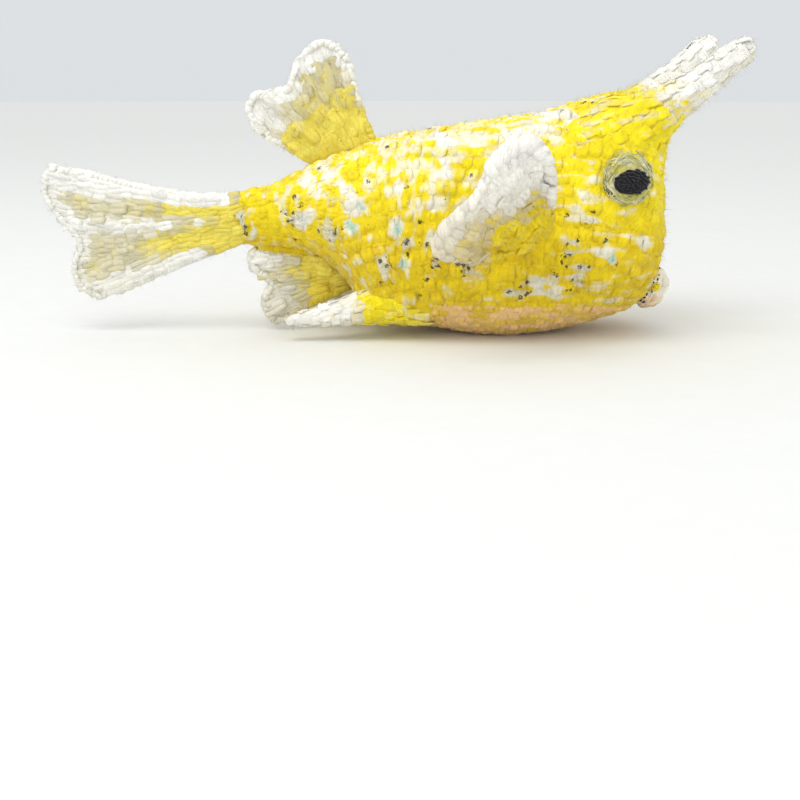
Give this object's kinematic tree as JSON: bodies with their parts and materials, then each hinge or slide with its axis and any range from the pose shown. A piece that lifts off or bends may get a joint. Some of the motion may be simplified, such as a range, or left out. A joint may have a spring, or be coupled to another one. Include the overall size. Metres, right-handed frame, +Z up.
{
  "type": "crocheted longhorn cowfish toy",
  "caption": "Crocheted and stuffed toy fish with a boxy body, horns over the eyes, short rear horns, padded fins and a fan tail, resting on its belly.",
  "frame": {"origin": "on the small flat under the stuffed belly that the toy rests on, in its middle plane", "axes": "+X the way the face looks, +Y the fish's left, +Z up"},
  "size_m": [0.2591, 0.1242, 0.1101],
  "materials": {
    "yellow_yarn": "matte fuzzy single crochet in white yarn dyed lemon yellow, with undyed blotches and black speckles",
    "peach_yarn": "matte fuzzy single crochet in peach yarn with yellow dabs",
    "white_yarn": "matte fuzzy crochet in warm white yarn, dyed yellow towards the root",
    "eye_felt": "felted pale yellow fibre with fine black strands",
    "black_yarn": "matte black yarn, closely stitched",
    "mouth_yarn": "matte fuzzy pinkish white yarn"
  },
  "bodies": {
    "root": {"head": "yellow_yarn", "torso": "yellow_yarn", "tail_stalk": "yellow_yarn", "belly": "peach_yarn", "tail_fin": "white_yarn", "dorsal_fin": "white_yarn", "anal_fin": "white_yarn", "pectoral_fin_left": "white_yarn", "pectoral_fin_right": "white_yarn", "horn_left": "white_yarn", "horn_right": "white_yarn", "rear_horn_left": "white_yarn", "rear_horn_right": "white_yarn", "eye_ring_left": "eye_felt", "eye_ring_right": "eye_felt", "pupil_left": "black_yarn", "pupil_right": "black_yarn", "mouth": "mouth_yarn"}
  },
  "joints": []
}
